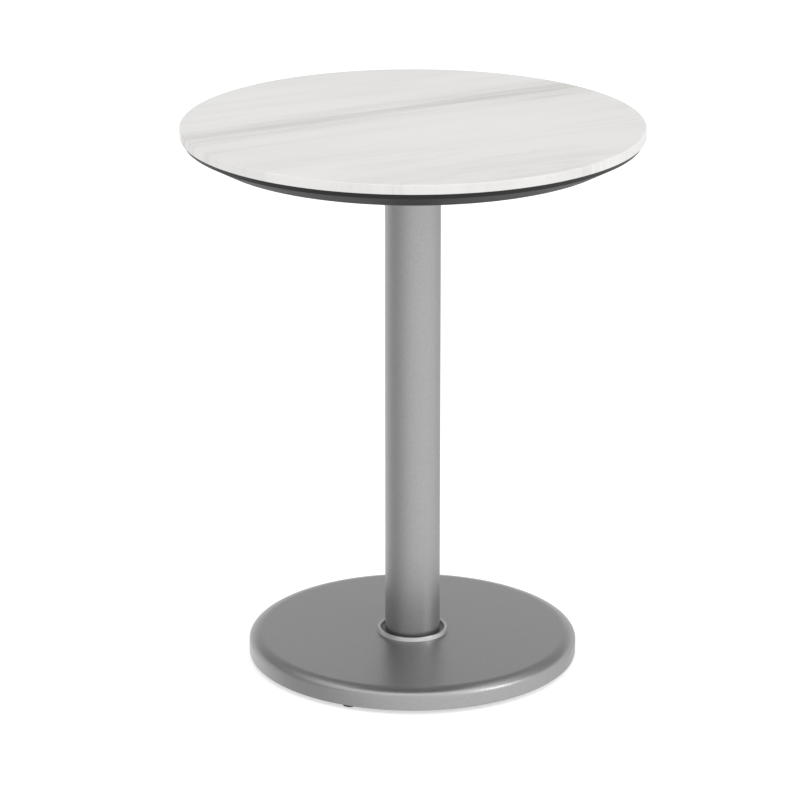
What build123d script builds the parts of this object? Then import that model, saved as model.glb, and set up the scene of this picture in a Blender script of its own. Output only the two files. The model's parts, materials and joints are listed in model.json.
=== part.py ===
from build123d import *
import os
from math import cos, radians, sin

# Round bistro table: a moulded top on one tube column and a weighted disc base.
# Millimetres, +Z up. The origin is on the floor, on the column's axis.

# Whole table
table_height = 730.0
top_diameter = 600.0
column_diameter = 73.0
base_diameter = 437.0
floor_gap = 6.0  # the base cover's lower edge stands this far above the floor

# Tabletop, measured down from the table's surface
decor_thickness = 1.6
decor_edge_height = 12.6
band_bottom = 19.3
top_thickness = 36.4
top_edge_radius = 2.0
core_step = 0.6  # the dark band starts this far inside the decor's edge
band_diameter = 590.4
underside_diameter = 526.2

# Column, collar and centring disc
tube_wall = 1.5
fit_gap = 0.2  # radial play of the pieces that locate the tube
collar_diameter = 95.0
collar_lip_radius = 2.6
collar_dish_height = 2.4
disc_thickness = 8.0

# Base
cover_height = 26.5
cover_gauge = 1.5
cover_hole_diameter = 40.0
shoulder_run = 18.5  # radial reach of the cover's elliptical shoulder
shoulder_drop = 10.5  # its drop
plate_diameter = 430.0
plate_thickness = 12.0
plate_shoulder_run = 18.0
plate_shoulder_drop = 10.0

# Spider under the top
hub_diameter = 86.0
hub_height = 22.0
spigot_height = 10.0
spigot_bore = 48.0
pocket_diameter = 36.0
pocket_depth = 14.0
arm_reach = 190.0
arm_width = 32.0
arm_thickness = 5.0
rib_thickness = 6.0
rib_end_radius = 152.0
rib_end_depth = 2.0
screw_circle_radius = 172.0

# Tie rod, M10, with its nuts and washers
rod_diameter = 10.0
rod_hole_diameter = 10.6
nut_height = 8.0
nut_across_flats = 17.0
washer_diameter = 30.0
washer_thickness = 2.5
rod_overhang = 2.0
recess_diameter = 40.0
recess_depth = 4.0

# Top fixing screws, M6, and their threaded inserts
screw_diameter = 6.0
screw_hole_diameter = 6.6
screw_head_diameter = 11.0
screw_head_height = 3.3
screw_length = 16.0
socket_across_flats = 4.0
socket_depth = 2.0
insert_diameter = 9.8
insert_length = 12.0
insert_bore = 6.1
pilot_diameter = 10.0
pilot_depth = 13.0

# Levelling feet, M8
foot_count = 4
foot_bearing = 66.0  # direction of the first foot, in degrees from +X
foot_circle_radius = 201.0
pad_diameter = 20.0
pad_height = 7.0
pad_edge_radius = 1.5
running_gap = 0.05  # radial clearance of the stem in the pad and in the plate
axial_gap = 0.1
stem_diameter = 8.0
stem_top = 28.0
stem_chamfer = 1.0
ball_diameter = 9.0
ball_height = 2.0
ball_bottom = 2.6
neck_diameter = 6.5
hex_across_flats = 13.0
hex_bottom = 7.2
hex_height = 4.0
boss_diameter = 26.0
boss_drop = 6.0

# Levels and radii that follow from the sizes above
top_radius = top_diameter / 2
column_radius = column_diameter / 2
tube_bore_radius = column_radius - tube_wall
base_radius = base_diameter / 2
underside_level = table_height - top_thickness
hub_bottom = underside_level - hub_height
cover_top = floor_gap + cover_height
shoulder_level = cover_top - shoulder_drop
plate_top = cover_top - cover_gauge
plate_bottom = plate_top - plate_thickness
plate_radius = plate_diameter / 2
recess_top = plate_bottom + recess_depth
spider_bearing = foot_bearing + 180 / foot_count


def save(piece, name):
    """Label a finished piece and write its STEP file."""
    piece.part.label = name
    export_step(piece.part, f"parts/{name}.step")


def hex_nut(bottom):
    """A hexagon nut for the tie rod, with turned-off corners."""
    with BuildPart() as nut:
        with BuildSketch(Plane.XY.offset(bottom)):
            RegularPolygon(nut_across_flats / 2, 6, major_radius=False)
        extrude(amount=nut_height)
        with BuildSketch(Plane.XZ):
            with BuildLine():
                corner = nut_across_flats * 0.6
                crown = nut_across_flats * 0.47
                slope = (corner - crown) * 0.58
                Polyline(
                    (0, bottom),
                    (crown, bottom),
                    (corner, bottom + slope),
                    (corner, bottom + nut_height - slope),
                    (crown, bottom + nut_height),
                    (0, bottom + nut_height),
                    close=True,
                )
            make_face()
        revolve(axis=Axis.Z, mode=Mode.INTERSECT)
        with BuildSketch(Plane.XY.offset(bottom)):
            Circle(rod_diameter / 2 + running_gap)
        extrude(amount=nut_height, mode=Mode.SUBTRACT)
    return nut


def washer(bottom):
    """A wide flat washer for the tie rod."""
    with BuildPart() as ring:
        with BuildSketch(Plane.XY.offset(bottom)):
            Circle(washer_diameter / 2)
            Circle(rod_hole_diameter / 2, mode=Mode.SUBTRACT)
        extrude(amount=washer_thickness)
        chamfer(ring.edges().filter_by(GeomType.CIRCLE).group_by(SortBy.RADIUS)[-1], 0.3)
    return ring


os.makedirs("parts", exist_ok=True)

# ---------------------------------------------------------------- tabletop

# Decor skin: covers the face and wraps the edge.
with BuildPart() as top_decor:
    with BuildSketch(Plane.XY.offset(table_height)):
        Circle(top_radius)
    extrude(amount=-decor_edge_height)
    fillet(top_decor.faces().sort_by(Axis.Z)[-1].edges(), top_edge_radius)
    with BuildSketch(Plane.XY.offset(table_height - decor_edge_height)):
        Circle(top_radius - decor_thickness)
    extrude(amount=decor_edge_height - decor_thickness, mode=Mode.SUBTRACT)
save(top_decor, "top_decor")

# Moulded core: fills the skin, then steps in, drops as a band and bevels to the underside.
with BuildPart() as top_core:
    with BuildSketch(Plane.XZ):
        with BuildLine():
            Polyline(
                (0, underside_level),
                (underside_diameter / 2, underside_level),
                (band_diameter / 2, table_height - band_bottom),
                (top_radius - core_step, table_height - decor_edge_height),
                (top_radius - decor_thickness, table_height - decor_edge_height),
                (top_radius - decor_thickness, table_height - decor_thickness),
                (0, table_height - decor_thickness),
                close=True,
            )
        make_face()
    revolve(axis=Axis.Z)
    with BuildSketch(Plane.XY.offset(underside_level)):
        with PolarLocations(screw_circle_radius, foot_count, start_angle=spider_bearing):
            Circle(pilot_diameter / 2)
    extrude(amount=pilot_depth, mode=Mode.SUBTRACT)
save(top_core, "top_core")

# Threaded inserts, pressed into the core's pilot holes.
with BuildPart() as threaded_inserts:
    with BuildSketch(Plane.XY.offset(underside_level)):
        with PolarLocations(screw_circle_radius, foot_count, start_angle=spider_bearing):
            Circle(insert_diameter / 2)
            Circle(insert_bore / 2, mode=Mode.SUBTRACT)
    extrude(amount=insert_length)
save(threaded_inserts, "threaded_inserts")

# ---------------------------------------------------------------- spider

# Four-armed casting: a hub on the tube's end, a spigot inside the tube, ribbed arms.
with BuildPart() as spider:
    with BuildSketch(Plane.XY.offset(hub_bottom)):
        Circle(hub_diameter / 2)
    extrude(amount=hub_height)
    with BuildSketch(Plane.XY.offset(underside_level - arm_thickness)):
        with PolarLocations(0, 2, start_angle=spider_bearing, angular_range=180):
            SlotOverall(2 * arm_reach, arm_width)
    extrude(amount=arm_thickness)
    for quarter in range(foot_count):
        rib_plane = Plane.XZ.rotated((0, 0, spider_bearing + quarter * 360 / foot_count))
        with BuildSketch(rib_plane):
            with BuildLine():
                Polyline(
                    (hub_diameter / 4, hub_bottom + rib_end_depth),
                    (hub_diameter / 2, hub_bottom + rib_end_depth),
                    (rib_end_radius, underside_level - arm_thickness - rib_end_depth),
                    (rib_end_radius + rib_end_depth, underside_level - arm_thickness),
                    (hub_diameter / 4, underside_level - arm_thickness),
                    close=True,
                )
            make_face()
        extrude(amount=rib_thickness / 2, both=True)
    with BuildSketch(Plane.XY.offset(hub_bottom)):
        Circle(tube_bore_radius - fit_gap)
    extrude(amount=-spigot_height)
    with BuildSketch(Plane.XY.offset(hub_bottom - spigot_height)):
        Circle(spigot_bore / 2)
    extrude(amount=spigot_height, mode=Mode.SUBTRACT)
    with BuildSketch(Plane.XY.offset(underside_level)):
        Circle(pocket_diameter / 2)
    extrude(amount=-pocket_depth, mode=Mode.SUBTRACT)
    with BuildSketch(Plane.XY.offset(underside_level)):
        Circle(rod_hole_diameter / 2)
        with PolarLocations(screw_circle_radius, foot_count, start_angle=spider_bearing):
            Circle(screw_hole_diameter / 2)
    extrude(amount=-hub_height, mode=Mode.SUBTRACT)
save(spider, "spider")

# Screws up through the arms into the inserts.
head_level = underside_level - arm_thickness
with BuildPart() as spider_screws:
    with BuildSketch(Plane.XY.offset(head_level)):
        with PolarLocations(screw_circle_radius, foot_count, start_angle=spider_bearing):
            Circle(screw_head_diameter / 2)
    extrude(amount=-screw_head_height)
    fillet(
        spider_screws.edges().filter_by(GeomType.CIRCLE).group_by(Axis.Z)[0],
        screw_head_height / 2,
    )
    with BuildSketch(Plane.XY.offset(head_level)):
        with PolarLocations(screw_circle_radius, foot_count, start_angle=spider_bearing):
            Circle(screw_diameter / 2)
    extrude(amount=screw_length)
    with BuildSketch(Plane.XY.offset(head_level - screw_head_height)):
        with PolarLocations(screw_circle_radius, foot_count, start_angle=spider_bearing):
            RegularPolygon(socket_across_flats / 2, 6, major_radius=False)
    extrude(amount=socket_depth, mode=Mode.SUBTRACT)
save(spider_screws, "spider_screws")

# ---------------------------------------------------------------- column

# Plain tube, from the base cover to the spider's hub.
with BuildPart() as column_tube:
    with BuildSketch(Plane.XY.offset(cover_top)):
        Circle(column_radius)
        Circle(tube_bore_radius, mode=Mode.SUBTRACT)
    extrude(amount=hub_bottom - cover_top)
save(column_tube, "column_tube")

# Collar: a trim ring with a rounded outer lip and a shallow dish beside the tube.
lip_centre_radius = collar_diameter / 2 - collar_lip_radius
lip_centre_level = cover_top + collar_dish_height
lip_arc = 125.0
lip_inner = (
    lip_centre_radius + collar_lip_radius * cos(radians(lip_arc)),
    lip_centre_level + collar_lip_radius * sin(radians(lip_arc)),
)
with BuildPart() as column_collar:
    with BuildSketch(Plane.XZ):
        with BuildLine():
            Polyline(
                (lip_inner[0] - collar_lip_radius, cover_top + collar_dish_height),
                (column_radius + fit_gap, cover_top + collar_dish_height),
                (column_radius + fit_gap, cover_top),
                (collar_diameter / 2, cover_top),
                (collar_diameter / 2, lip_centre_level),
            )
            CenterArc((lip_centre_radius, lip_centre_level), collar_lip_radius, 0, lip_arc)
            Line(lip_inner, (lip_inner[0] - collar_lip_radius, cover_top + collar_dish_height))
        make_face()
    revolve(axis=Axis.Z)
save(column_collar, "column_collar")

# Centring disc: stands on the cover inside the tube's foot.
with BuildPart() as centring_disc:
    with BuildSketch(Plane.XY.offset(cover_top)):
        Circle(tube_bore_radius - fit_gap)
        Circle(rod_hole_diameter / 2, mode=Mode.SUBTRACT)
    extrude(amount=disc_thickness)
    chamfer(centring_disc.faces().sort_by(Axis.Z)[-1].outer_wire().edges(), 1.0)
save(centring_disc, "centring_disc")

# ---------------------------------------------------------------- tie rod

upper_washer_bottom = underside_level - pocket_depth
upper_nut_bottom = upper_washer_bottom + washer_thickness
lower_washer_bottom = recess_top - washer_thickness
lower_nut_bottom = lower_washer_bottom - nut_height
rod_bottom = lower_nut_bottom - rod_overhang
rod_top = upper_nut_bottom + nut_height + rod_overhang

with BuildPart() as tie_rod:
    with BuildSketch(Plane.XY.offset(rod_bottom)):
        Circle(rod_diameter / 2)
    extrude(amount=rod_top - rod_bottom)
    chamfer(tie_rod.edges().filter_by(GeomType.CIRCLE), 1.0)
save(tie_rod, "tie_rod")

save(washer(upper_washer_bottom), "upper_washer")
save(hex_nut(upper_nut_bottom), "upper_nut")
save(washer(lower_washer_bottom), "lower_washer")
save(hex_nut(lower_nut_bottom), "lower_nut")

# ---------------------------------------------------------------- base

# Pressed cover: a flat disc, an elliptical shoulder and a short upright rim.
shoulder_radius = base_radius - shoulder_run
rim_inner_radius = base_radius - cover_gauge
with BuildPart() as base_cover:
    with BuildSketch(Plane.XZ):
        with BuildLine():
            EllipticalCenterArc(
                (shoulder_radius, shoulder_level), shoulder_run, shoulder_drop, 0, arc_size=90
            )
            Polyline(
                (shoulder_radius, cover_top),
                (cover_hole_diameter / 2, cover_top),
                (cover_hole_diameter / 2, plate_top),
                (shoulder_radius, plate_top),
            )
            EllipticalCenterArc(
                (shoulder_radius, shoulder_level),
                shoulder_run - cover_gauge,
                shoulder_drop - cover_gauge,
                0,
                arc_size=90,
            )
            Polyline(
                (rim_inner_radius, shoulder_level),
                (rim_inner_radius, floor_gap),
                (base_radius, floor_gap),
                (base_radius, shoulder_level),
            )
        make_face()
    revolve(axis=Axis.Z)
save(base_cover, "base_cover")

# Ballast plate: an iron disc that fills the cover's top, with a tapped boss for each foot.
plate_shoulder_radius = plate_radius - plate_shoulder_run
plate_shoulder_level = plate_top - plate_shoulder_drop
with BuildPart() as base_plate:
    with BuildSketch(Plane.XZ):
        with BuildLine():
            EllipticalCenterArc(
                (plate_shoulder_radius, plate_shoulder_level),
                plate_shoulder_run,
                plate_shoulder_drop,
                0,
                arc_size=90,
            )
            Polyline(
                (plate_shoulder_radius, plate_top),
                (0, plate_top),
                (0, plate_bottom),
                (plate_radius, plate_bottom),
                (plate_radius, plate_shoulder_level),
            )
        make_face()
    revolve(axis=Axis.Z)
    with BuildSketch(Plane.XY.offset(plate_bottom)):
        with PolarLocations(foot_circle_radius, foot_count, start_angle=foot_bearing):
            Circle(boss_diameter / 2)
    extrude(amount=-boss_drop)
    with BuildSketch(Plane.XY.offset(plate_bottom - boss_drop)):
        with PolarLocations(foot_circle_radius, foot_count, start_angle=foot_bearing):
            Circle(stem_diameter / 2 + running_gap)
    extrude(amount=plate_thickness + boss_drop, mode=Mode.SUBTRACT)
    with BuildSketch(Plane.XY.offset(plate_bottom)):
        Circle(recess_diameter / 2)
    extrude(amount=recess_depth, mode=Mode.SUBTRACT)
    with BuildSketch(Plane.XY.offset(plate_bottom)):
        Circle(rod_hole_diameter / 2)
    extrude(amount=plate_thickness, mode=Mode.SUBTRACT)
save(base_plate, "base_plate")

# ---------------------------------------------------------------- levelling feet

ball_top = ball_bottom + ball_height
hex_top = hex_bottom + hex_height
stem_radius = stem_diameter / 2
socket_radius = ball_diameter / 2 + running_gap
throat_radius = neck_diameter / 2 + running_gap

for number in range(1, foot_count + 1):
    bearing = radians(foot_bearing + (number - 1) * 360 / foot_count)
    centre = (foot_circle_radius * cos(bearing), foot_circle_radius * sin(bearing), 0)
    foot_plane = Plane(origin=centre, x_dir=(1, 0, 0), z_dir=(0, -1, 0))
    foot_axis = Axis(centre, (0, 0, 1))

    # Pad: a plastic disc with a snap socket for the stem's head.
    with BuildPart() as pad:
        with BuildSketch(foot_plane):
            with BuildLine():
                Polyline(
                    (0, 0),
                    (pad_diameter / 2, 0),
                    (pad_diameter / 2, pad_height),
                    (throat_radius, pad_height),
                    (throat_radius, ball_top + axial_gap),
                    (socket_radius, ball_top + axial_gap),
                    (socket_radius, ball_bottom - axial_gap),
                    (0, ball_bottom - axial_gap),
                    close=True,
                )
            make_face()
        revolve(axis=foot_axis)
        fillet(pad.faces().sort_by(Axis.Z)[0].edges(), pad_edge_radius)
    save(pad, f"foot_pad_{number}")

    # Stem: a threaded stud with a hexagon to turn it and a head that swivels in the pad.
    with BuildPart() as stem:
        with BuildSketch(foot_plane):
            with BuildLine():
                Polyline(
                    (0, ball_bottom),
                    (ball_diameter / 2, ball_bottom),
                    (ball_diameter / 2, ball_top),
                    (neck_diameter / 2, ball_top),
                    (neck_diameter / 2, hex_bottom),
                    (stem_radius, hex_bottom),
                    (stem_radius, stem_top - stem_chamfer),
                    (stem_radius - stem_chamfer, stem_top),
                    (0, stem_top),
                    close=True,
                )
            make_face()
        revolve(axis=foot_axis)
        with BuildSketch(Plane(origin=(centre[0], centre[1], hex_bottom))):
            RegularPolygon(hex_across_flats / 2, 6, major_radius=False)
        extrude(amount=hex_height)
    save(stem, f"foot_stem_{number}")
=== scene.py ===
import json
from math import atan2, cos, pi, radians, sin, tan, tau

import bpy
from mathutils import Matrix, Vector

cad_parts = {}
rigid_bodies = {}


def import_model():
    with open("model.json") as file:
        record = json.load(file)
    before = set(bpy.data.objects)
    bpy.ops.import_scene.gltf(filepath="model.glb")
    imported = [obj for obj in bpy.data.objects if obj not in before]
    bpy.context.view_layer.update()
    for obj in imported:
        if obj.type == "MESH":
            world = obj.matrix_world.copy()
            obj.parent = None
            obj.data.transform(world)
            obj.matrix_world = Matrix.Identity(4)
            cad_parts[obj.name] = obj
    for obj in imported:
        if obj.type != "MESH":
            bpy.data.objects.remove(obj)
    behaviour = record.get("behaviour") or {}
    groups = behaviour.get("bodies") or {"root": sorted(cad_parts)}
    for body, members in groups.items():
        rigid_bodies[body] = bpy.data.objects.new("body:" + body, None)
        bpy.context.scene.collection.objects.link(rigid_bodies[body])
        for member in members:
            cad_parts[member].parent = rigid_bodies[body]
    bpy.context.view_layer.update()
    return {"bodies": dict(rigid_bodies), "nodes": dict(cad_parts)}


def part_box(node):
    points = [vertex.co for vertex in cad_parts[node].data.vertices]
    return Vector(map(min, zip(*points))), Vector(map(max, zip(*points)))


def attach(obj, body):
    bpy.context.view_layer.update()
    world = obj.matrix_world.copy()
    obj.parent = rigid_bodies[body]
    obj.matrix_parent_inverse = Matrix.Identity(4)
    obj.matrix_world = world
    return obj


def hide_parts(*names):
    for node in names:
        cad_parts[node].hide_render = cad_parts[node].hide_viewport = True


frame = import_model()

# A bistro table. Turned pieces stand in for the CAD nodes and take their outer sizes from them.
MM = 0.001
EDGE_STEPS = 5
WELD_DISTANCE = 2e-6
CUTTER_EXCESS = 5 * MM
SLIDING_FIT = 0.2 * MM
RUNNING_FIT = 0.05 * MM


# ------------------------------------------------------------------ sizes from the frame

def reach(node):
    """The largest distance of a CAD node's surface from the table's axis."""
    return max(v.co.xy.length for v in frame["nodes"][node].data.vertices)


def levels(node):
    """The lowest and highest level of a CAD node."""
    low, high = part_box(node)
    return low.z, high.z


def centre(node):
    """The middle of a CAD node's box, seen from above."""
    low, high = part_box(node)
    return (low + high).xy / 2


DECOR_BOTTOM, TABLE_TOP = levels("top_decor")
DECOR_REACH = reach("top_decor")
DECOR_SKIN = 1.6 * MM
CORE_BOTTOM = levels("top_core")[0]
CORE_REACH = reach("top_core")
BAND_BOTTOM = TABLE_TOP - 19.3 * MM
BAND_REACH = DECOR_REACH - 4.8 * MM
UNDERSIDE_REACH = 263.1 * MM

TUBE_BOTTOM, TUBE_TOP = levels("column_tube")
TUBE_REACH = reach("column_tube")
TUBE_WALL = 1.5 * MM

COLLAR_BOTTOM, COLLAR_TOP = levels("column_collar")
COLLAR_REACH = reach("column_collar")
COLLAR_LIP = 2.6 * MM
COLLAR_DRAFT = 1.6 * MM
COLLAR_DISH = 2.4 * MM
# Within this reach the collar is painted dark: painted shade in the dish by the tube.
COLLAR_PAINTED_SHADE_REACH = COLLAR_REACH - 4.5 * MM

COVER_BOTTOM, COVER_TOP = levels("base_cover")
COVER_REACH = reach("base_cover")
COVER_GAUGE = 1.5 * MM
COVER_HOLE = 20 * MM
SHOULDER_RUN = 18.5 * MM
SHOULDER_DROP = 10.5 * MM

PLATE_TOP = levels("base_plate")[1]
PLATE_BOTTOM = PLATE_TOP - 12 * MM
PLATE_REACH = reach("base_plate")
PLATE_RUN = 18 * MM
PLATE_DROP = 10 * MM
BOSS_DROP = 6 * MM
BOSS_RADIUS = 13 * MM
RECESS_RADIUS = 20 * MM
RECESS_DEPTH = 4 * MM

SPIDER_FOOT, SPIDER_TOP = levels("spider")
SPIGOT_RADIUS = TUBE_REACH - TUBE_WALL - SLIDING_FIT
SPIGOT_BORE = 24 * MM
HUB_RADIUS = 43 * MM
POCKET_RADIUS = 18 * MM
POCKET_DEPTH = 14 * MM
ARM_REACH = 190 * MM
ARM_WIDTH = 32 * MM
ARM_GAUGE = 5 * MM
RIB_GAUGE = 6 * MM
RIB_END = 152 * MM
CAST_ALLOWANCE = 3 * MM
CAST_GRAIN = 1.6 * MM

SCREW_HEAD_BOTTOM, SCREW_TIP = levels("spider_screws")
SCREW_CIRCLE = 172 * MM
SCREW_HEAD = 5.5 * MM
SCREW_SHANK = 3 * MM
SCREW_HOLE = SCREW_SHANK + 0.3 * MM
SCREW_SOCKET = 2 * MM
SCREW_PITCH = 1.0 * MM
SCREW_THREAD = 0.55 * MM
PILOT_RADIUS = 5 * MM
PILOT_DEPTH = 13 * MM

ROD_BOTTOM, ROD_TOP = levels("tie_rod")
ROD_RADIUS = 5 * MM
ROD_HOLE = 5.3 * MM
ROD_PITCH = 1.5 * MM
ROD_THREAD = 0.8 * MM
ROD_THREAD_LENGTH = 24 * MM
NUT_FLAT = 8.5 * MM
WASHER_RADIUS = 15 * MM

# A hexagon's crown is a circle a little inside its flats, and its chamfer slopes down from there.
HEX_CROWN = 0.94
HEX_CHAMFER = 0.58

PAD_RADIUS = 10 * MM
STEM_RADIUS = 4 * MM
STEM_HOLE = 4.05 * MM
STEM_PITCH = 1.25 * MM
STEM_THREAD = 0.6 * MM
HEAD_RADIUS = 4.5 * MM
HEAD_BOTTOM, HEAD_TOP = 2.6 * MM, 4.6 * MM
NECK_RADIUS = 3.25 * MM
HEX_FLAT = 6.5 * MM
HEX_BOTTOM, HEX_TOP = 7.2 * MM, 11.2 * MM
FOOT_NUMBERS = sorted(name[-1] for name in frame["bodies"] if name.startswith("foot_"))
FIRST_FOOT = atan2(centre("foot_pad_1").y, centre("foot_pad_1").x)
FIRST_ARM = FIRST_FOOT + pi / len(FOOT_NUMBERS)
FOOT_CIRCLE = centre("foot_pad_1").length


# ------------------------------------------------------------------ node trees

class Value:
    """One output of a node, wrapped so that arithmetic on a number adds Math nodes."""

    def __init__(self, tree, socket):
        self.tree, self.socket = tree, socket

    def math(self, operation, *operands):
        """Adds one Math node and gives back its result."""
        inputs = dict(enumerate(operands))
        return self.tree.node("ShaderNodeMath", {"operation": operation}, inputs)

    def __add__(self, other):
        return self.math("ADD", self, other)

    __radd__ = __add__

    def __sub__(self, other):
        return self.math("SUBTRACT", self, other)

    def __rsub__(self, other):
        return self.math("SUBTRACT", other, self)

    def __mul__(self, other):
        return self.math("MULTIPLY", self, other)

    __rmul__ = __mul__

    def __truediv__(self, other):
        return self.math("DIVIDE", self, other)

    def __rtruediv__(self, other):
        return self.math("DIVIDE", other, self)

    def __mod__(self, other):
        return self.math("FLOORED_MODULO", self, other)

    def __abs__(self):
        return self.math("ABSOLUTE", self)

    def floor(self):
        return self.math("FLOOR", self)

    def sine(self):
        return self.math("SINE", self)

    def cosine(self):
        return self.math("COSINE", self)

    def smooth_between(self, low, high):
        """0 below low, 1 above high, and a soft step between them."""
        settings = {"interpolation_type": "SMOOTHSTEP"}
        inputs = {0: self, 1: low, 2: high, 3: 0.0, 4: 1.0}
        return self.tree.node("ShaderNodeMapRange", settings, inputs)


class Tree:
    """A node tree. Every node but its output comes from the one method called node."""

    def __init__(self, tree):
        self.tree = tree

    def node(self, kind, settings=None, inputs=None, output=0):
        """Adds a node: its settings first, then the values or links of its sockets."""
        made = self.tree.nodes.new(kind)
        for key, value in (settings or {}).items():
            setattr(made, key, value)
        for key, value in (inputs or {}).items():
            socket = made.inputs[key]
            if isinstance(value, Value):
                self.tree.links.new(value.socket, socket)
            else:
                socket.default_value = value
        return Value(self, made.outputs[output])

    def axis(self, vector, which):
        """One of a vector's numbers: 0 for X, 1 for Y and 2 for Z."""
        return self.node("ShaderNodeSeparateXYZ", None, {0: vector}, which)

    def end(self, kind, value):
        """Adds the tree's output node and links its first input."""
        self.tree.links.new(value.socket, self.tree.nodes.new(kind).inputs[0])


class Finish(Tree):
    """A material: a Principled surface whose varying inputs come from expressions."""

    def __init__(self, name, **fixed):
        self.material = bpy.data.materials.new(name)
        self.material.use_nodes = True
        super().__init__(self.material.node_tree)
        self.tree.nodes.clear()
        surface = self.node("ShaderNodeBsdfPrincipled")
        self.surface = surface.socket.node
        self.end("ShaderNodeOutputMaterial", surface)
        for key, value in fixed.items():
            self.surface.inputs[key.replace("_", " ")].default_value = value

    def drive(self, **inputs):
        """Links expressions to the surface's inputs."""
        for key, value in inputs.items():
            self.tree.links.new(value.socket, self.surface.inputs[key.replace("_", " ")])

    def place(self, turn=0.0, scale=(1, 1, 1)):
        """Object coordinates, turned about +Z and then scaled."""
        where = self.node("ShaderNodeTexCoord", output="Object")
        turned = self.node("ShaderNodeMapping", {"vector_type": "TEXTURE"},
                           {"Vector": where, "Rotation": (0, 0, turn)})
        return self.node("ShaderNodeMapping", None, {"Vector": turned, "Scale": scale})

    def noise(self, vector, scale, detail=3.0, roughness=0.5, distortion=0.0, seed=0.0):
        """Cloudy noise about 0.5. Another seed gives another cloud."""
        return self.node("ShaderNodeTexNoise", {"noise_dimensions": "4D"},
                         {"Vector": vector, "Scale": scale, "Detail": detail, "W": seed,
                          "Roughness": roughness, "Distortion": distortion})

    def cells(self, vector, scale):
        """A random number for each small cell, as for metal flakes."""
        colour = self.node("ShaderNodeTexVoronoi", None, {"Vector": vector, "Scale": scale}, "Color")
        return self.node("ShaderNodeSeparateColor", None, {"Color": colour})

    def mix(self, factor, first, second):
        """A colour between two, all first at 0 and all second at 1."""
        return self.node("ShaderNodeMix", {"data_type": "RGBA", "clamp_factor": True},
                         {0: factor, 6: first, 7: second}, 2)

    def bump(self, height, strength, distance):
        """A normal that makes a height look like relief."""
        return self.node("ShaderNodeBump", None,
                         {"Height": height, "Strength": strength, "Distance": distance})


def grey(level, warmth=0.0):
    """A near-neutral colour; warmth moves it towards yellow."""
    return (level * (1 + warmth), level, level * (1 - 1.5 * warmth), 1)


# ------------------------------------------------------------------ finishes

def marble_decor():
    """Pale marble print: long soft streaks in one direction, a main band and fine veins."""
    finish = Finish("marble_print", Roughness=0.5, Specular_IOR_Level=0.3)
    vein_turn = radians(29)
    across = finish.place(vein_turn, scale=(1, 1, 0))
    along = finish.axis(across, 0)
    side = finish.axis(across, 1)

    def drawn_out(length, width, **looks):
        """Noise drawn out along the veins, coarser for smaller numbers."""
        return finish.noise(finish.place(vein_turn, (length, width, 0)), 1.0, **looks)

    wander = drawn_out(2.2, 7, detail=2, seed=3.1) - 0.5
    side = side + wander * 0.05
    drift = along * 0.02
    band_middle = 0.075
    band_half_width = 0.055
    band = 1 - abs(side - band_middle - drift).smooth_between(0.0, band_half_width)
    streaks = drawn_out(1.8, 36, detail=7, roughness=0.66, seed=7.4)
    cloud = drawn_out(2.5, 9, detail=4, roughness=0.55, seed=1.7)
    veins = drawn_out(2.4, 26, detail=5, roughness=0.6, distortion=0.25, seed=11.3)
    fine_veins = 1 - abs(veins - 0.5).smooth_between(0.0, 0.022)
    patch = drawn_out(3.5, 8, detail=2, seed=5.5).smooth_between(0.45, 0.7)
    tone = cloud.smooth_between(0.35, 0.75) * 0.20
    tone = tone + streaks.smooth_between(0.46, 0.72) * 0.34
    tone = tone + band * streaks.smooth_between(0.36, 0.62) * 0.75
    tone = tone + fine_veins * patch * 0.30
    colour = finish.mix(tone, grey(0.590, 0.010), grey(0.440, 0.022))
    fine = finish.noise(finish.place(scale=(1, 1, 1)), 900.0, detail=2)
    finish.drive(Base_Color=colour,
                 Roughness=0.48 + fine * 0.06,
                 Normal=finish.bump(fine, 0.05, 0.0001))
    return finish.material


def dark_core():
    """Anthracite moulded underside with a fine leathery grain."""
    finish = Finish("anthracite_moulding", Roughness=0.5, Specular_IOR_Level=0.26)
    grain = finish.noise(finish.place(), 1400.0, detail=3, roughness=0.6)
    cloud = finish.noise(finish.place(), 18.0, detail=3)
    colour = finish.mix(cloud, grey(0.016), grey(0.023))
    finish.drive(Base_Color=colour,
                 Roughness=0.46 + cloud * 0.10,
                 Normal=finish.bump(grain, 0.25, 0.0002))
    return finish.material


def metallic_coat(name, dark, bright, roughness, painted_shade_within=0):
    """Metallic powder coat: tiny flakes that differ in tone and a faint orange peel. Closer to
    the axis than painted_shade_within it is painted dark: painted shade, standing in for the shadow
    in a groove."""
    finish = Finish(name, Metallic=0.94, Specular_IOR_Level=0.5)
    flakes = finish.cells(finish.place(), 1500.0)
    speckle = finish.noise(finish.place(), 700.0, detail=2)
    cloud = finish.noise(finish.place(), 9.0, detail=3)
    peel = finish.noise(finish.place(), 420.0, detail=1)
    tone = flakes * 0.5 + speckle * 0.35 + cloud * 0.15
    colour = finish.mix(tone, grey(dark), grey(bright))
    # Painted shade: near the axis the colour turns dark, as if shadowed in a groove.
    if painted_shade_within:
        radius = finish.node("ShaderNodeVectorMath", {"operation": "LENGTH"},
                             {0: finish.place(scale=(1, 1, 0))}, "Value")
        fade = 1.0 * MM
        painted_shade_colour = grey(0.06)
        outside_painted_shade = radius.smooth_between(painted_shade_within - fade, painted_shade_within)
        colour = finish.mix(outside_painted_shade, painted_shade_colour, colour)
    finish.drive(Base_Color=colour,
                 Roughness=roughness + speckle * 0.08 + cloud * 0.04,
                 Normal=finish.bump(peel + flakes * 0.4, 0.10, 0.0002))
    return finish.material


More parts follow.
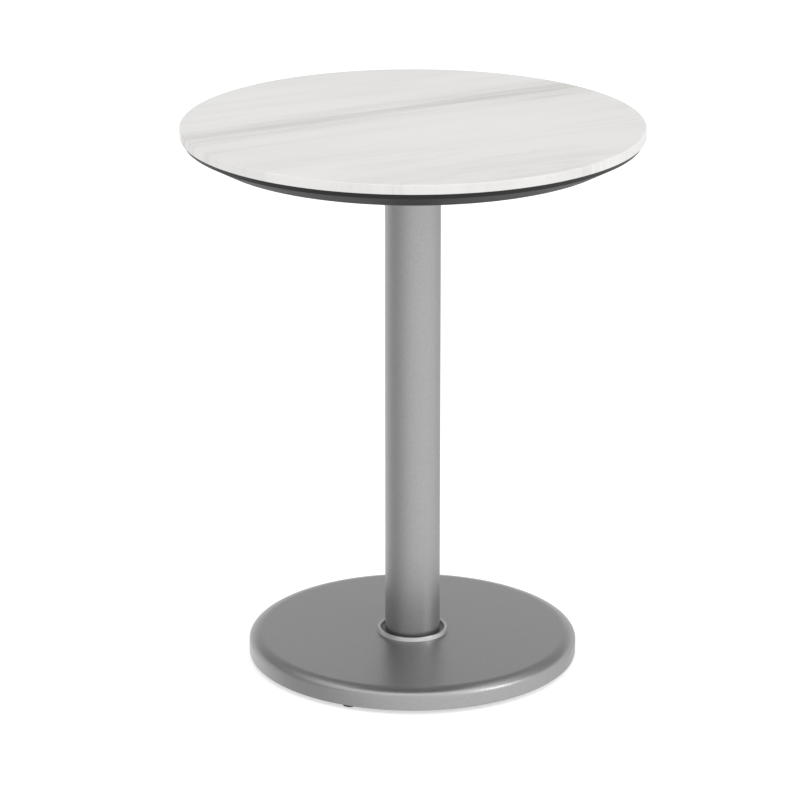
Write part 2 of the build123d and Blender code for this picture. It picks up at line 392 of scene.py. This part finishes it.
def black_casting():
    """Cast iron under thin black paint, with a sandy skin."""
    finish = Finish("black_casting", Metallic=0.1)
    sand = finish.noise(finish.place(), 600.0, detail=5, roughness=0.7)
    lumps = finish.noise(finish.place(), 60.0, detail=3)
    finish.drive(Base_Color=finish.mix(lumps, grey(0.018), grey(0.040)),
                 Roughness=0.5 + sand * 0.25,
                 Normal=finish.bump(sand + lumps, 0.5, 0.0005))
    return finish.material


def zinc_steel():
    """Bright zinc plate with faint turning marks."""
    finish = Finish("bright_zinc", Metallic=1.0)
    marks = finish.noise(finish.place(scale=(1, 1, 30)), 90.0, detail=3)
    bloom = finish.noise(finish.place(), 120.0, detail=3)
    finish.drive(Base_Color=finish.mix(bloom, grey(0.46, 0.02), grey(0.60, -0.01)),
                 Roughness=0.24 + marks * 0.18,
                 Normal=finish.bump(marks, 0.12, 0.0001))
    return finish.material


def turned_brass():
    """Plain brass of the threaded inserts."""
    finish = Finish("turned_brass", Metallic=1.0)
    marks = finish.noise(finish.place(scale=(1, 1, 40)), 90.0, detail=3)
    finish.drive(Base_Color=finish.mix(marks, (0.56, 0.38, 0.14, 1), (0.74, 0.54, 0.24, 1)),
                 Roughness=0.25 + marks * 0.2)
    return finish.material


def foot_nylon():
    """Black moulded nylon with a fine matt grain."""
    finish = Finish("foot_nylon")
    grain = finish.noise(finish.place(), 1800.0, detail=3)
    scuff = finish.noise(finish.place(), 150.0, detail=4)
    finish.drive(Base_Color=finish.mix(scuff, grey(0.010), grey(0.022)),
                 Roughness=0.42 + scuff * 0.2,
                 Normal=finish.bump(grain, 0.2, 0.0001))
    return finish.material


MARBLE = marble_decor()
CORE_SKIN = dark_core()
SILVER = metallic_coat("silver_powder_coat", 0.262, 0.366, 0.34)
COLLAR_COAT = metallic_coat("bright_powder_coat", 0.37, 0.49, 0.26, COLLAR_PAINTED_SHADE_REACH)
BASE_COAT = metallic_coat("grey_powder_coat", 0.255, 0.355, 0.30)
CASTING = black_casting()
ZINC = zinc_steel()
BRASS = turned_brass()
NYLON = foot_nylon()


# ------------------------------------------------------------------ turned pieces

def geometry_tree(name, *rows):
    """A geometry tree with inputs given as (name, socket type), and those inputs' values."""
    group = bpy.data.node_groups.new(name, "GeometryNodeTree")
    for label, kind in rows:
        group.interface.new_socket(label, in_out="INPUT", socket_type=kind)
    group.interface.new_socket("Geometry", in_out="OUTPUT", socket_type="NodeSocketGeometry")
    tree = Tree(group)
    given = tree.node("NodeGroupInput").socket.node
    return tree, [Value(tree, given.outputs[k]) for k in range(len(rows))]


def lathe_tree():
    """Turns an outline in the XZ plane round +Z. Points marked as facets lie on a hexagon,
    and lift moves such a point up as the hexagon stands out from its round."""
    tree, given = geometry_tree(
        "lathe",
        ("Outline", "NodeSocketGeometry"),
        ("Steps", "NodeSocketInt"),
        ("Weld", "NodeSocketFloat"),
        ("Crease", "NodeSocketFloat"),
        ("Finish", "NodeSocketMaterial"),
    )
    outline, steps, weld, crease, finish = given
    count = tree.node("GeometryNodeAttributeDomainSize", None, {0: outline})
    sheet = tree.node("GeometryNodeMeshGrid", None, {"Vertices X": steps + 1, "Vertices Y": count})
    index = tree.node("GeometryNodeInputIndex")
    rounding_guard = 1e-4
    column = (index / count + rounding_guard).floor()
    row = index - column * count
    where = tree.node("GeometryNodeInputPosition")
    spot = tree.node("GeometryNodeSampleIndex", {"data_type": "FLOAT_VECTOR"},
                     {"Geometry": outline, "Value": where, "Index": row})
    marks = []
    for name in ("facet", "lift"):
        named = tree.node("GeometryNodeInputNamedAttribute", {"data_type": "FLOAT"}, {"Name": name})
        marks.append(tree.node("GeometryNodeSampleIndex", {"data_type": "FLOAT"},
                               {"Geometry": outline, "Value": named, "Index": row}))
    facet, lift = marks
    radius = tree.axis(spot, 0)
    height = tree.axis(spot, 2)
    angle = column / steps * tau
    proud = 1 / (angle % (pi / 3) - pi / 6).cosine() - 1
    wide = radius * (1 + facet * proud)
    high = height + lift * radius * proud
    place = tree.node("ShaderNodeCombineXYZ", None,
                      {0: wide * angle.cosine(), 1: wide * angle.sine(), 2: high})
    bent = tree.node("GeometryNodeSetPosition", None, {"Geometry": sheet, "Position": place})
    welded = tree.node("GeometryNodeMergeByDistance", None, {"Geometry": bent, "Distance": weld})
    soft = tree.node("GeometryNodeSetShadeSmooth", None, {"Geometry": welded, "Shade Smooth": True})
    edge = tree.node("GeometryNodeInputMeshEdgeAngle")
    sharp = tree.node("FunctionNodeCompare", {"data_type": "FLOAT", "operation": "GREATER_THAN"},
                      {0: edge, 1: crease})
    creased = tree.node("GeometryNodeSetShadeSmooth", {"domain": "EDGE"},
                        {"Geometry": soft, "Selection": sharp, "Shade Smooth": False})
    real = tree.node("GeometryNodeRealizeInstances", None, {"Geometry": creased})
    done = tree.node("GeometryNodeSetMaterial", None, {"Geometry": real, "Material": finish})
    tree.end("NodeGroupOutput", done)
    return tree.tree


def ring_tree():
    """Copies a piece round the table's axis, as many times as Count says."""
    tree, given = geometry_tree(
        "ring_of_copies",
        ("Piece", "NodeSocketGeometry"),
        ("Count", "NodeSocketInt"),
        ("Radius", "NodeSocketFloat"),
        ("First Bearing", "NodeSocketFloat"),
        ("Finish", "NodeSocketMaterial"),
    )
    piece, count, radius, first, finish = given
    points = tree.node("GeometryNodePoints", None, {"Count": count})
    index = tree.node("GeometryNodeInputIndex")
    bearing = first + index / count * tau
    place = tree.node("ShaderNodeCombineXYZ", None,
                      {0: bearing.cosine() * radius, 1: bearing.sine() * radius})
    placed = tree.node("GeometryNodeSetPosition", None, {"Geometry": points, "Position": place})
    turn = tree.node("ShaderNodeCombineXYZ", None, {2: bearing})
    copies = tree.node("GeometryNodeInstanceOnPoints", None,
                       {"Points": placed, "Instance": piece, "Rotation": turn})
    real = tree.node("GeometryNodeRealizeInstances", None, {"Geometry": copies})
    done = tree.node("GeometryNodeSetMaterial", None, {"Geometry": real, "Material": finish})
    tree.end("NodeGroupOutput", done)
    return tree.tree


LATHE = lathe_tree()
RING = ring_tree()


def link(name, mesh):
    """A mesh as an object of the scene, at the origin."""
    piece = bpy.data.objects.new(name, mesh)
    bpy.context.scene.collection.objects.link(piece)
    return piece


def settle(source, name):
    """The evaluated mesh of source as a plain object; source is removed."""
    graph = bpy.context.evaluated_depsgraph_get()
    mesh = bpy.data.meshes.new_from_object(source.evaluated_get(graph))
    mesh.name = name
    finish = [material for material in mesh.materials if material][-1]
    mesh.materials.clear()
    mesh.materials.append(finish)
    mesh.polygons.foreach_set("material_index", [0] * len(mesh.polygons))
    bpy.data.objects.remove(source)
    return link(name, mesh)


def grown(source, name, tree, **inputs):
    """Runs a geometry tree on source with the named inputs and keeps the plain mesh."""
    modifier = source.modifiers.new("shape", "NODES")
    modifier.node_group = tree
    for socket in tree.interface.items_tree:
        key = socket.name.replace(" ", "_")
        if key in inputs:
            modifier[socket.identifier] = inputs[key]
    return settle(source, name)


def rounded(corners, closed=False, steps=EDGE_STEPS):
    """An outline from corners (radius, level, fillet). A fillet becomes an arc with a guard
    point on each side, so that the flats beside it stay flat when shaded."""
    spots = [Vector(corner[:2]) for corner in corners]
    count = len(corners)
    outline = []
    for k, (corner, spot) in enumerate(zip(corners, spots)):
        fillet = corner[2] if len(corner) > 2 else 0.0
        if not closed and k in (0, count - 1) or fillet == 0.0:
            outline.append(tuple(spot))
            continue
        before = spots[k - 1] - spot
        after = spots[(k + 1) % count] - spot
        half = before.angle(after) / 2
        run = fillet / tan(half)
        guard = run + min(fillet, 0.2 * (min(before.length, after.length) - run))
        hub = spot + (before.normalized() + after.normalized()).normalized() * fillet / sin(half)
        start = spot + before.normalized() * run - hub
        end = spot + after.normalized() * run - hub
        sweep = start.angle_signed(end)
        outline.append(tuple(spot + before.normalized() * guard))
        for step in range(steps + 1):
            turn = -sweep * step / steps
            arm = Vector((start.x * cos(turn) - start.y * sin(turn),
                          start.x * sin(turn) + start.y * cos(turn)))
            outline.append(tuple(hub + arm))
        outline.append(tuple(spot + after.normalized() * guard))
    if closed:
        outline.append(outline[0])
    return outline


def turned(name, outline, finish, steps=192, crease=40):
    """A piece turned from outline points (radius, level, facet, lift), facet and lift optional.
    Edges sharper than crease, in degrees, stay crisp."""
    mesh = bpy.data.meshes.new(name + "_outline")
    mesh.from_pydata([(p[0], 0, p[1]) for p in outline],
                     [(k, k + 1) for k in range(len(outline) - 1)], [])
    for slot, label in ((2, "facet"), (3, "lift")):
        marks = mesh.attributes.new(label, "FLOAT", "POINT")
        marks.data.foreach_set("value", [p[slot] if len(p) > slot else 0.0 for p in outline])
    return grown(link(name + "_outline", mesh), name, LATHE, Steps=steps, Weld=WELD_DISTANCE,
                 Crease=radians(crease), Finish=finish)


def quarter_ellipse(hub, run, drop, steps=14):
    """Points of a quarter ellipse from its widest point up to its top."""
    return [(hub[0] + run * cos(k / steps * pi / 2), hub[1] + drop * sin(k / steps * pi / 2))
            for k in range(steps + 1)]


def moved(piece, spot):
    """Puts a piece's mesh at a place seen from above."""
    piece.data.transform(Matrix.Translation((spot[0], spot[1], 0)))
    return piece


def cut(piece, tool, operation="DIFFERENCE"):
    """Cuts a tool's shape from a piece, or joins it on, and removes the tool."""
    change = piece.modifiers.new("cut", "BOOLEAN")
    change.operation = operation
    change.solver = "EXACT"
    change.object = tool
    made = settle(piece, piece.name)
    bpy.data.objects.remove(tool)
    return made


def softened(piece, angle=35):
    """Smooth shading with the edges sharper than angle, in degrees, kept crisp."""
    piece.data.shade_smooth()
    piece.data.set_sharp_from_angle(angle=radians(angle))
    return piece


def prism(name, corners, low, high, finish):
    """An upright block with the given outline."""
    mesh = bpy.data.meshes.new(name)
    count = len(corners)
    spots = [(x, y, level) for level in (low, high) for x, y in corners]
    faces = [tuple(range(count))[::-1], tuple(range(count, 2 * count))]
    faces += [(k, (k + 1) % count, (k + 1) % count + count, k + count) for k in range(count)]
    mesh.from_pydata(spots, [], faces)
    mesh.materials.append(finish)
    return link(name, mesh)


def ring_of(piece, name, finish, radius, first):
    """As many copies of a piece as there are feet, on a circle about the table's axis."""
    return grown(piece, name, RING, Count=len(FOOT_NUMBERS), Radius=radius, First_Bearing=first,
                 Finish=finish)


def plug(name, radius, low, high, steps=32):
    """A round cutter, turned a little so that its corners miss the spokes of what it cuts."""
    made = turned(name, [(0, low), (radius, low), (radius, high), (0, high)], CASTING, steps)
    small_turn = radians(2.3)
    made.data.transform(Matrix.Rotation(small_turn, 4, "Z"))
    return made


def thread(radius, low, high, pitch, depth):
    """Outline points of a thread's ridges, from low up to high, each with a narrow flat crest."""
    count = round((high - low) / pitch)
    step = (high - low) / count
    crest_start = 0.42 * step
    crest_end = 0.58 * step
    points = []
    for k in range(count):
        base = low + k * step
        points += [(radius - depth, base), (radius, base + crest_start), (radius, base + crest_end)]
    return points + [(radius - depth, high)]


def fit(piece, body, node):
    """Puts a finished piece in its body and hides the CAD node it stands for."""
    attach(piece, body)
    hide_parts(node)


# ------------------------------------------------------------------ tabletop

def make_decor():
    """The thin print: a face and an edge that lap over the board."""
    inner = DECOR_REACH - DECOR_SKIN
    ceiling = TABLE_TOP - DECOR_SKIN
    outline = rounded([
        (0, ceiling),
        (inner, ceiling, 0.6 * MM),
        (inner, DECOR_BOTTOM, 0.2 * MM),
        (DECOR_REACH, DECOR_BOTTOM, 0.5 * MM),
        (DECOR_REACH, TABLE_TOP, 2.0 * MM),
        (0, TABLE_TOP),
    ], steps=8)
    piece = turned("tabletop_decor", outline, MARBLE, steps=256)
    fit(piece, "table", "top_decor")


def make_core():
    """The moulded board: a dark band, a long bevel and a flat underside with four pilot holes."""
    clear = 0.1 * MM
    neck = DECOR_REACH - DECOR_SKIN - clear
    outline = rounded([
        (0, CORE_BOTTOM),
        (UNDERSIDE_REACH, CORE_BOTTOM, 3.0 * MM),
        (BAND_REACH, BAND_BOTTOM, 1.5 * MM),
        (CORE_REACH, DECOR_BOTTOM - clear, 0.3 * MM),
        (neck, DECOR_BOTTOM - clear),
        (neck, TABLE_TOP - DECOR_SKIN - clear, 0.8 * MM),
        (0, TABLE_TOP - DECOR_SKIN - clear),
    ])
    piece = turned("tabletop_core", outline, CORE_SKIN, steps=256)
    pilot = plug("pilot", PILOT_RADIUS, CORE_BOTTOM - CUTTER_EXCESS, CORE_BOTTOM + PILOT_DEPTH)
    pilots = ring_of(pilot, "pilots", CORE_SKIN, SCREW_CIRCLE, FIRST_ARM)
    piece = softened(cut(piece, pilots))
    fit(piece, "table", "top_core")


# ------------------------------------------------------------------ column

def make_tube():
    """The plain tube, with both ends deburred."""
    bore = TUBE_REACH - TUBE_WALL
    edge = 0.4 * MM
    outline = rounded([
        (bore, TUBE_BOTTOM, edge),
        (TUBE_REACH, TUBE_BOTTOM, edge),
        (TUBE_REACH, TUBE_TOP, edge),
        (bore, TUBE_TOP, edge),
    ], closed=True)
    piece = turned("silver_column", outline, SILVER, steps=160)
    fit(piece, "table", "column_tube")


def make_collar():
    """A trim ring: a sloped outer face, a narrow lip and a dish beside the tube, its colour darkened
    there as painted shade.
    """
    bore = TUBE_REACH + SLIDING_FIT
    brow = COLLAR_REACH - COLLAR_DRAFT
    dish = COLLAR_BOTTOM + COLLAR_DISH
    edge = 0.9 * MM
    outline = rounded([
        (bore, COLLAR_BOTTOM),
        (COLLAR_REACH, COLLAR_BOTTOM),
        (brow, COLLAR_TOP, edge),
        (brow - COLLAR_LIP, COLLAR_TOP, edge),
        (brow - COLLAR_LIP - COLLAR_DRAFT, dish, edge),
        (bore, dish),
        (bore, COLLAR_BOTTOM),
    ])
    piece = turned("trim_collar", outline, COLLAR_COAT, steps=128)
    fit(piece, "table", "column_collar")


# ------------------------------------------------------------------ base

def make_cover():
    """The pressed cover: flat top, elliptical shoulder, upright rim, all of one gauge."""
    hub = (COVER_REACH - SHOULDER_RUN, COVER_TOP - SHOULDER_DROP)
    inner = COVER_TOP - COVER_GAUGE
    guard = 1.0 * MM
    edge = 0.45 * MM
    steps = 20
    outside = quarter_ellipse(hub, SHOULDER_RUN, SHOULDER_DROP, steps)
    inside = quarter_ellipse(hub, SHOULDER_RUN - COVER_GAUGE, SHOULDER_DROP - COVER_GAUGE, steps)
    rim = rounded([
        (COVER_REACH - COVER_GAUGE, hub[1]),
        (COVER_REACH - COVER_GAUGE, COVER_BOTTOM, edge),
        (COVER_REACH, COVER_BOTTOM, edge),
        (COVER_REACH, hub[1]),
    ])
    outline = [(COVER_HOLE, inner), (hub[0] - guard, inner)] + inside[::-1]
    outline += rim[1:-1] + outside
    outline += [(hub[0] - guard, COVER_TOP), (COVER_HOLE, COVER_TOP), (COVER_HOLE, inner)]
    piece = turned("base_shell", outline, BASE_COAT, steps=256)
    fit(piece, "table", "base_cover")


def make_plate():
    """The cast ballast plate: an elliptical shoulder, a boss for each foot, and machined holes."""
    hub = (PLATE_REACH - PLATE_RUN, PLATE_TOP - PLATE_DROP)
    outline = [(0, PLATE_BOTTOM)]
    outline += rounded([
        (0, PLATE_BOTTOM),
        (PLATE_REACH, PLATE_BOTTOM, 0.8 * MM),
        (PLATE_REACH, hub[1]),
    ])[1:-1]
    outline += quarter_ellipse(hub, PLATE_RUN, PLATE_DROP) + [(0, PLATE_TOP)]
    plate = turned("ballast_plate", outline, CASTING, steps=192)
    root = PLATE_BOTTOM + 3 * MM
    boss = turned("boss", rounded([
        (0, PLATE_BOTTOM - BOSS_DROP),
        (BOSS_RADIUS, PLATE_BOTTOM - BOSS_DROP, 1.2 * MM),
        (BOSS_RADIUS, root),
        (0, root),
    ]), CASTING, steps=48)
    bosses = ring_of(boss, "bosses", CASTING, FOOT_CIRCLE, FIRST_FOOT)
    plate = cut(plate, bosses, "UNION")
    hole = plug("foot_hole", STEM_HOLE, 0, PLATE_TOP + 2 * CUTTER_EXCESS)
    plate = cut(plate, ring_of(hole, "foot_holes", CASTING, FOOT_CIRCLE, FIRST_FOOT))
    recess_top = PLATE_BOTTOM + RECESS_DEPTH
    recess = turned("recess", [
        (0, 0),
        (RECESS_RADIUS, 0),
        (RECESS_RADIUS, recess_top),
        (ROD_HOLE, recess_top),
        (ROD_HOLE, COVER_TOP),
        (0, COVER_TOP),
    ], CASTING, steps=64)
    plate = softened(cut(plate, recess))
    fit(plate, "table", "base_plate")


# ------------------------------------------------------------------ spider and its screws

def make_rib(hub_bottom):
    """The upright rib under an arm: deep at the hub, and running out towards the arm's end."""
    root = HUB_RADIUS / 2
    deep = hub_bottom + 2 * MM
    shallow = SPIDER_TOP - ARM_GAUGE - 2 * MM
    buried = SPIDER_TOP - 1 * MM
    side = [
        (root, deep),
        (HUB_RADIUS, deep),
        (RIB_END, shallow),
        (RIB_END + 2 * MM, buried),
        (root, buried),
    ]
    count = len(side)
    spots = [(x, y * RIB_GAUGE / 2, z) for y in (-1, 1) for x, z in side]
    faces = [tuple(range(count)), tuple(range(2 * count - 1, count - 1, -1))]
    faces += [(k, k + count, (k + 1) % count + count, (k + 1) % count) for k in range(count)]
    rib = bpy.data.meshes.new("rib")
    rib.from_pydata(spots, [], faces)
    rib.materials.append(CASTING)
    return link("rib", rib)


def make_spider():
    """A four-armed casting with soft edges, then bored and faced where it meets other pieces."""
    rough_top = SPIDER_TOP + CAST_ALLOWANCE
    hub_bottom = TUBE_TOP
    body = turned("support_spider", rounded([
        (0, SPIDER_FOOT),
        (SPIGOT_RADIUS, SPIDER_FOOT),
        (SPIGOT_RADIUS, hub_bottom),
        (HUB_RADIUS, hub_bottom, 2 * MM),
        (HUB_RADIUS, rough_top),
        (0, rough_top),
    ]), CASTING, steps=128)
    half = ARM_WIDTH / 2
    corners = [(0, -half)]
    for degrees in range(-90, 91, 10):
        turn = radians(degrees)
        corners.append((ARM_REACH - half + half * cos(turn), half * sin(turn)))
    corners.append((0, half))
    arm = prism("arm", corners, SPIDER_TOP - ARM_GAUGE, rough_top, CASTING)
    body = cut(body, ring_of(arm, "arms", CASTING, 0, FIRST_ARM), "UNION")
    body = cut(body, ring_of(make_rib(hub_bottom), "ribs", CASTING, 0, FIRST_ARM), "UNION")
    remesh = body.modifiers.new("cast", "REMESH")
    remesh.mode = "VOXEL"
    remesh.voxel_size = CAST_GRAIN
    smooth = body.modifiers.new("fettle", "SMOOTH")
    smooth.factor = 0.5
    smooth.iterations = 3
    body = settle(body, "support_spider")
    square = [(-1, -1), (1, -1), (1, 1), (-1, 1)]
    trim = prism("trim", square, SPIDER_TOP, SPIDER_TOP + 10 * CUTTER_EXCESS, CASTING)
    body = cut(body, trim)
    below = SPIDER_FOOT - CUTTER_EXCESS
    pocket = SPIDER_TOP - POCKET_DEPTH
    above = SPIDER_TOP + CUTTER_EXCESS
    bore = turned("bore", [
        (0, below),
        (SPIGOT_BORE, below),
        (SPIGOT_BORE, hub_bottom),
        (ROD_HOLE, hub_bottom),
        (ROD_HOLE, pocket),
        (POCKET_RADIUS, pocket),
        (POCKET_RADIUS, above),
        (0, above),
    ], CASTING, steps=96)
    body = cut(body, bore)
    hole = plug("screw_hole", SCREW_HOLE, hub_bottom, above)
    holes = ring_of(hole, "screw_holes", CASTING, SCREW_CIRCLE, FIRST_ARM)
    body = softened(cut(body, holes), 50)
    fit(body, "table", "spider")


def make_screws():
    """Round-headed screws with a hexagon socket, their heads down."""
    head_top = SPIDER_TOP - ARM_GAUGE
    pocket = SCREW_HEAD_BOTTOM + 2 * MM
    flat = SCREW_SOCKET
    mouth = flat * 1.25
    point = 0.8 * MM
    outline = [
        (0, pocket),
        (flat * 0.9, pocket, 1),
        (flat, pocket - 0.2 * MM, 1),
        (flat, SCREW_HEAD_BOTTOM, 1),
        (mouth, SCREW_HEAD_BOTTOM),
    ]
    outline += rounded([
        (mouth, SCREW_HEAD_BOTTOM),
        (SCREW_HEAD, SCREW_HEAD_BOTTOM, 1.65 * MM),
        (SCREW_HEAD, head_top, 0.2 * MM),
        (SCREW_SHANK, head_top),
    ])[1:]
    outline += thread(SCREW_SHANK, head_top + 1 * MM, SCREW_TIP - point, SCREW_PITCH, SCREW_THREAD)
    outline += [(SCREW_SHANK - point, SCREW_TIP), (0, SCREW_TIP)]
    screw = turned("screw", outline, ZINC, steps=48)
    screws = ring_of(screw, "arm_screws", ZINC, SCREW_CIRCLE, FIRST_ARM)
    fit(screws, "table", "spider_screws")


# ------------------------------------------------------------------ tie rod

def make_rod():
    """A plain rod with a thread at each end."""
    point = 0.6 * MM
    run_out = 0.7 * MM
    tip = ROD_RADIUS - 1 * MM
    plain = ROD_RADIUS - 0.1 * MM
    lower_end = ROD_BOTTOM + ROD_THREAD_LENGTH
    upper_end = ROD_TOP - ROD_THREAD_LENGTH
    outline = [(0, ROD_BOTTOM), (tip, ROD_BOTTOM)]
    outline += thread(ROD_RADIUS, ROD_BOTTOM + point, lower_end, ROD_PITCH, ROD_THREAD)
    outline += [(plain, lower_end + run_out), (plain, upper_end - run_out)]
    outline += thread(ROD_RADIUS, upper_end, ROD_TOP - point, ROD_PITCH, ROD_THREAD)
    outline += [(tip, ROD_TOP), (0, ROD_TOP)]
    fit(turned("steel_rod", outline, ZINC, steps=48), "table", "tie_rod")


def make_nut(name, node):
    """A hexagon nut, chamfered on both faces and at both mouths of its bore."""
    low, high = levels(node)
    bore = ROD_RADIUS + RUNNING_FIT
    mouth = 0.6 * MM
    crown = NUT_FLAT * HEX_CROWN
    drop = (NUT_FLAT - crown) * HEX_CHAMFER
    outline = [
        (bore, low + mouth),
        (bore + mouth, low),
        (crown, low),
        (NUT_FLAT, low + drop, 1, HEX_CHAMFER),
        (NUT_FLAT, high - drop, 1, -HEX_CHAMFER),
        (crown, high),
        (bore + mouth, high),
        (bore, high - mouth),
        (bore, low + mouth),
    ]
    fit(turned(name, outline, ZINC, steps=96, crease=25), "table", node)


def make_washer(name, node):
    """A stamped washer: soft round its rim, crisper round its hole."""
    low, high = levels(node)
    outline = rounded([
        (ROD_HOLE, low, 0.2 * MM),
        (WASHER_RADIUS, low, 0.35 * MM),
        (WASHER_RADIUS, high, 0.35 * MM),
        (ROD_HOLE, high, 0.2 * MM),
    ], closed=True, steps=3)
    fit(turned(name, outline, ZINC, steps=96), "table", node)


# ------------------------------------------------------------------ levelling feet

def make_pad(number):
    """A moulded pad with the socket in which its stem's head turns."""
    node = "foot_pad_" + number
    low, high = levels(node)
    throat = NECK_RADIUS + RUNNING_FIT
    socket = HEAD_RADIUS + RUNNING_FIT
    socket_top = HEAD_TOP + 0.1 * MM
    socket_bottom = HEAD_BOTTOM - 0.1 * MM
    outline = rounded([
        (0, low),
        (PAD_RADIUS, low, 1.5 * MM),
        (PAD_RADIUS, high, 0.8 * MM),
        (throat, high, 0.3 * MM),
        (throat, socket_top),
        (socket, socket_top),
        (socket, socket_bottom),
        (0, socket_bottom),
    ])
    pad = turned("levelling_pad_" + number, outline, NYLON, steps=72)
    fit(moved(pad, centre(node)), "foot_" + number, node)


def make_stem(number):
    """A stem: a head in the pad, a neck, a hexagon for the spanner and a thread."""
    node = "foot_stem_" + number
    top = levels(node)[1]
    point = 1 * MM
    crown = HEX_FLAT * HEX_CROWN
    drop = (HEX_FLAT - crown) * HEX_CHAMFER
    outline = rounded([
        (0, HEAD_BOTTOM),
        (HEAD_RADIUS, HEAD_BOTTOM, 0.3 * MM),
        (HEAD_RADIUS, HEAD_TOP, 0.3 * MM),
        (NECK_RADIUS, HEAD_TOP),
        (NECK_RADIUS, HEX_BOTTOM),
    ])
    outline += [
        (crown, HEX_BOTTOM),
        (HEX_FLAT, HEX_BOTTOM + drop, 1, HEX_CHAMFER),
        (HEX_FLAT, HEX_TOP - drop, 1, -HEX_CHAMFER),
        (crown, HEX_TOP),
    ]
    outline += thread(STEM_RADIUS, HEX_TOP, top - point, STEM_PITCH, STEM_THREAD)
    outline += [(STEM_RADIUS - point, top), (0, top)]
    stem = turned("levelling_stem_" + number, outline, ZINC, steps=48, crease=25)
    fit(moved(stem, centre(node)), "stem_" + number, node)


def dress(node, finish):
    """Puts a finish on a CAD node that is shown as it is."""
    for slot in frame["nodes"][node].material_slots:
        slot.material = finish


# ------------------------------------------------------------------ stage, light and camera

def make_floor():
    """A wide light table. The metal doesn't mirror it, so the studio's light shapes the metal."""
    finish = Finish("light_table", Roughness=0.9, Emission_Strength=0.6)
    finish.surface.inputs["Base Color"].default_value = grey(0.50)
    finish.surface.inputs["Emission Color"].default_value = grey(1.0)
    bpy.ops.mesh.primitive_plane_add(size=60)
    floor = bpy.context.object
    floor.name = "studio_floor"
    floor.data.materials.append(finish.material)
    floor.visible_glossy = False


def facing(tree, where, azimuth, height, low, high):
    """A soft patch of the world round an azimuth and a height in degrees. Low and high are cosines
    of the angle from its middle: the patch is 0 beyond the first and 1 within the second."""
    turn = radians(azimuth)
    rise = radians(height)
    aim = (cos(turn) * cos(rise), sin(turn) * cos(rise), sin(rise))
    closeness = tree.node("ShaderNodeVectorMath", {"operation": "DOT_PRODUCT"}, {0: where, 1: aim}, 1)
    return closeness.smooth_between(low, high)


def make_world():
    """Soft light all round. Above the floor it is even, with a dim belt high at the back, a dim
    patch at the left, a glow at the front right and a bright zenith. Below the floor, where only
    the metal sees it, it is bright at the front right and at the back, and fades straight down."""
    world = bpy.data.worlds.new("studio")
    world.use_nodes = True
    world.node_tree.nodes.clear()
    tree = Tree(world.node_tree)
    where = tree.node("ShaderNodeTexCoord", output="Generated")
    height = tree.axis(where, 2)
    belt = height.smooth_between(0.32, 0.48) * (1 - height.smooth_between(0.74, 0.91))
    belt = belt * facing(tree, where, 90, 0, -0.2, 0.5)
    broad_glow = facing(tree, where, -40, 20, -0.6, 1.0)
    left_patch = facing(tree, where, -168, 26, 0.78, 0.97)
    right_glow = facing(tree, where, -50, 20, 0.7, 1.0)
    zenith = height.smooth_between(0.74, 0.97)
    sky = (1.0 + 0.08 * broad_glow) * (1 - 0.75 * belt) * (1 - 0.5 * left_patch)
    sky = sky + 0.22 * right_glow + 0.8 * zenith
    low_right_glow = facing(tree, where, -45, -10, -0.5, 1.0)
    low_back_glow = facing(tree, where, 112, -30, 0.45, 1.0)
    not_steep = height.smooth_between(-0.8, -0.5)
    below = (0.62 + 0.66 * low_right_glow + 0.5 * low_back_glow) * (0.3 + 0.7 * not_steep)
    above = height.smooth_between(-0.08, 0.12)
    brightness = 1.15
    level = brightness * (above * sky + (1 - above) * below)
    light = tree.node("ShaderNodeBackground", None, {"Color": grey(1.0), "Strength": level})
    tree.end("ShaderNodeOutputWorld", light)
    bpy.context.scene.world = world


def softbox(name, place, aim, size, power, on_matt=True, on_gloss=True):
    """A lamp behind a cloth of the given width and height, turned to a place. It lights matt
    surfaces, glossy ones or both."""
    lamp = bpy.data.lights.new(name, "AREA")
    lamp.shape = "RECTANGLE"
    lamp.size, lamp.size_y = size
    lamp.energy = power
    light = bpy.data.objects.new(name, lamp)
    light.location = place
    light.rotation_euler = (Vector(aim) - Vector(place)).to_track_quat("-Z", "Y").to_euler()
    light.visible_diffuse = on_matt
    light.visible_glossy = on_gloss
    bpy.context.scene.collection.objects.link(light)


def make_camera():
    """A long lens, above and in front, tilted down to the middle of the column."""
    view = bpy.data.cameras.new("view")
    view.lens = 173.1
    view.sensor_width = 36
    camera = bpy.data.objects.new("view", view)
    camera.location = (-0.0167, -4.799, TABLE_TOP + 1.224)
    tilt = radians(18.42)
    camera.rotation_euler = (pi / 2 - tilt, 0, 0)
    bpy.context.scene.collection.objects.link(camera)
    bpy.context.scene.camera = camera


make_decor()
make_core()
make_tube()
make_collar()
make_cover()
make_plate()
make_spider()
make_screws()
make_rod()
for end in ("upper", "lower"):
    make_nut(end + "_hex_nut", end + "_nut")
    make_washer(end + "_flat_washer", end + "_washer")
for number in FOOT_NUMBERS:
    make_pad(number)
    make_stem(number)
dress("threaded_inserts", BRASS)
dress("centring_disc", ZINC)
make_floor()
make_world()
# Only the strip shows in the gloss. It stands clear of where the flat tops mirror the usual views.
softbox("key", (2.0, -2.3, 2.05), (0, 0, 0.2), (1.4, 3.0), 25, on_gloss=False)
softbox("strip", (2.95, -1.3, 2.5), (0, 0, 0.1), (0.8, 1.6), 30, on_matt=False)
softbox("fill", (-2.9, -0.4, 1.2), (0, 0, 0.7), (1.6, 1.6), 17, on_gloss=False)
make_camera()
bpy.context.scene.view_settings.view_transform = "Standard"
